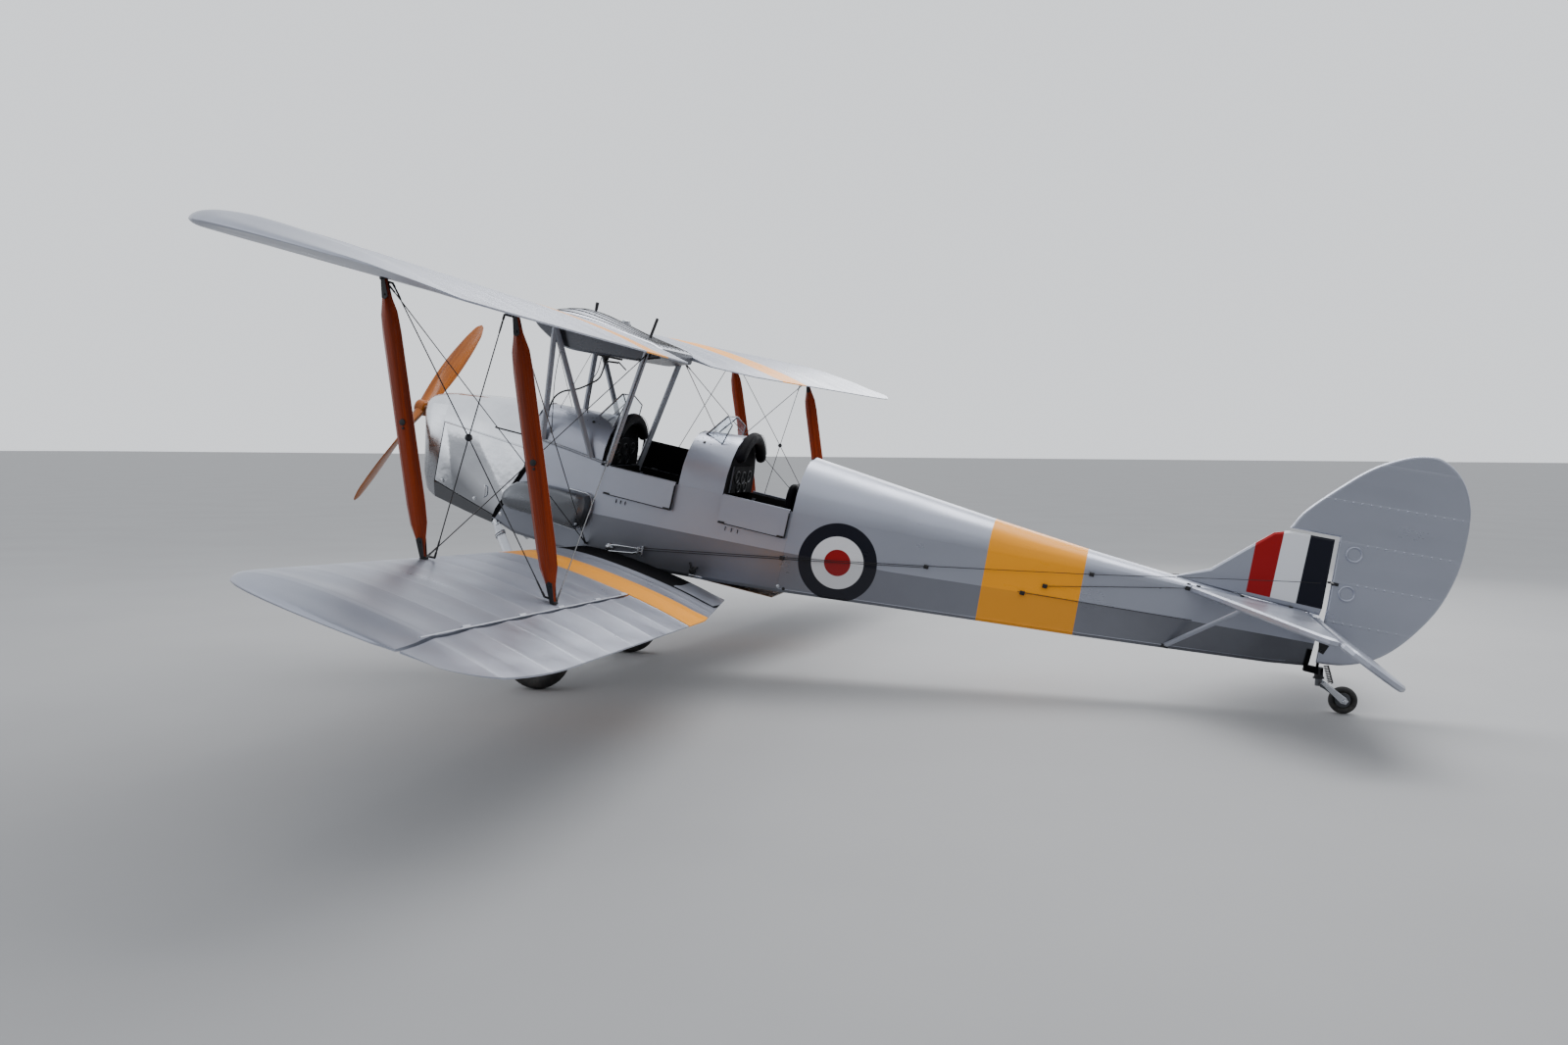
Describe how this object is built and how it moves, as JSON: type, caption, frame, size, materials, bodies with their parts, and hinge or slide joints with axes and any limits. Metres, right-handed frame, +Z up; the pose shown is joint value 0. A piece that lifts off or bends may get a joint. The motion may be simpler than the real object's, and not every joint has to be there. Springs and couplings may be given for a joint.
{
  "type": "biplane trainer aircraft",
  "caption": "Open-cockpit two-seat training biplane with strutted wings, wooden propeller, hinged control surfaces, drop-down cockpit doors and a tail wheel.",
  "frame": {"origin": "on the ground under the middle of the bounding box, aircraft parked on its wheels", "axes": "+X forward towards the propeller, +Y towards the left wing tip, +Z up"},
  "size_m": [7.3822, 8.924, 2.7063],
  "materials": {
    "silver_dope": "satin silver dope",
    "polished_metal": "polished",
    "varnished_wood": "gloss varnish",
    "varnished_propeller": "gloss varnish",
    "grey_paint": "semi gloss",
    "silver_tank": "satin",
    "gear_metal": "satin",
    "wheel_metal": "satin",
    "wire_steel": "satin",
    "tyre_rubber": "matte",
    "black_leather": "soft sheen",
    "seat_metal": "matte",
    "screen_glass": "clear",
    "engine_dark": "matte"
  },
  "bodies": {
    "airframe": {"cabane_left": "grey_paint", "cabane_right": "grey_paint", "cockpit_tub": "silver_dope", "cowl_chin": "polished_metal", "cowl_nose": "polished_metal", "cowl_top": "polished_metal", "cushion_front": "black_leather", "cushion_rear": "black_leather", "engine_block": "engine_dark", "exhaust_pipe": "polished_metal", "fin": "silver_dope", "front_fuselage": "silver_dope", "fuel_tank": "silver_tank", "lower_wing_left": "silver_dope", "lower_wing_right": "silver_dope", "mid_decking": "silver_dope", "oil_tank": "polished_metal", "pad_front": "black_leather", "pad_rear": "black_leather", "rear_fuselage": "silver_dope", "rigging_left": "wire_steel", "rigging_right": "wire_steel", "seat_front": "seat_metal", "seat_rear": "seat_metal", "strut_front_left": "varnished_wood", "strut_front_right": "varnished_wood", "strut_rear_left": "varnished_wood", "strut_rear_right": "varnished_wood", "tailplane_left": "silver_dope", "tailplane_right": "silver_dope", "undercarriage": "gear_metal", "upper_wing_left": "silver_dope", "upper_wing_right": "silver_dope", "windscreen_front": "screen_glass", "windscreen_rear": "screen_glass"},
    "propeller": {"propeller": "varnished_propeller"},
    "wheel_left": {"tyre_left": "tyre_rubber", "wheel_left": "wheel_metal"},
    "wheel_right": {"tyre_right": "tyre_rubber", "wheel_right": "wheel_metal"},
    "tail_fork": {"tail_fork": "gear_metal"},
    "tail_wheel": {"tail_tyre": "tyre_rubber", "tail_hub": "wheel_metal"},
    "rudder": {"rudder": "silver_dope"},
    "elevators": {"elevators": "silver_dope"},
    "aileron_left": {"aileron_left": "silver_dope"},
    "aileron_right": {"aileron_right": "silver_dope"},
    "door_front_left": {"door_front_left": "silver_dope"},
    "door_rear_left": {"door_rear_left": "silver_dope"},
    "door_front_right": {"door_front_right": "silver_dope"},
    "door_rear_right": {"door_rear_right": "silver_dope"},
    "cowl_side_left": {"cowl_side_left": "polished_metal"},
    "cowl_side_right": {"cowl_side_right": "polished_metal"}
  },
  "joints": [
    {"name": "propeller_spin", "type": "hinge", "parent": "airframe", "child": "propeller", "pos_m": [3.54, 0, 1.941], "axis": [0.9788, 0, 0.2047], "continuous": true},
    {"name": "wheel_left_spin", "type": "hinge", "parent": "airframe", "child": "wheel_left", "pos_m": [2.17, 0.8, 0.24], "axis": [0, 1, 0], "continuous": true},
    {"name": "wheel_right_spin", "type": "hinge", "parent": "airframe", "child": "wheel_right", "pos_m": [2.17, -0.8, 0.24], "axis": [0, 1, 0], "continuous": true},
    {"name": "tail_wheel_steer", "type": "hinge", "parent": "airframe", "child": "tail_fork", "pos_m": [-2.864, 0, 0.2], "axis": [0, 0, 1], "range_deg": [-35, 35]},
    {"name": "tail_wheel_spin", "type": "hinge", "parent": "tail_fork", "child": "tail_wheel", "pos_m": [-3.009, 0, 0.086], "axis": [0, 1, 0], "continuous": true},
    {"name": "rudder_turn", "type": "hinge", "parent": "airframe", "child": "rudder", "pos_m": [-2.93191, 0, 0.84317], "axis": [-0.1405, 0, 0.9901], "range_deg": [-25, 25]},
    {"name": "elevator_turn", "type": "hinge", "parent": "airframe", "child": "elevators", "pos_m": [-2.78953, 0, 0.61958], "axis": [0, 1, 0], "range_deg": [-3, 52]},
    {"name": "aileron_left_turn", "type": "hinge", "parent": "airframe", "child": "aileron_left", "pos_m": [0.96084, 3.05, 0.82449], "axis": [-0.0922, 0.9945, 0.05], "range_deg": [-20, 20]},
    {"name": "aileron_right_turn", "type": "hinge", "parent": "airframe", "child": "aileron_right", "pos_m": [0.96084, -3.05, 0.82449], "axis": [0.0922, 0.9945, -0.05], "range_deg": [-20, 20]},
    {"name": "door_front_left_hinge", "type": "hinge", "parent": "airframe", "child": "door_front_left", "pos_m": [1.58979, 0.34272, 1.45695], "axis": [0.977, -0.0121, 0.2131], "range_deg": [0, 175]},
    {"name": "door_rear_left_hinge", "type": "hinge", "parent": "airframe", "child": "door_rear_left", "pos_m": [0.75182, 0.343, 1.2773], "axis": [0.978, 0.0118, 0.2085], "range_deg": [0, 175]},
    {"name": "door_front_right_hinge", "type": "hinge", "parent": "airframe", "child": "door_front_right", "pos_m": [1.58979, -0.34272, 1.45695], "axis": [0.977, 0.0121, 0.2131], "range_deg": [0, 175]},
    {"name": "door_rear_right_hinge", "type": "hinge", "parent": "airframe", "child": "door_rear_right", "pos_m": [0.75182, -0.343, 1.2773], "axis": [0.978, -0.0118, 0.2085], "range_deg": [-175, 0]},
    {"name": "cowl_side_left_hinge", "type": "hinge", "parent": "airframe", "child": "cowl_side_left", "pos_m": [2.85507, 0.2685, 1.73301], "axis": [0.9605, -0.0757, 0.2678], "range_deg": [0, 85]},
    {"name": "cowl_side_right_hinge", "type": "hinge", "parent": "airframe", "child": "cowl_side_right", "pos_m": [2.85507, -0.2685, 1.73301], "axis": [0.9605, 0.0757, 0.2678], "range_deg": [-85, 0]}
  ]
}
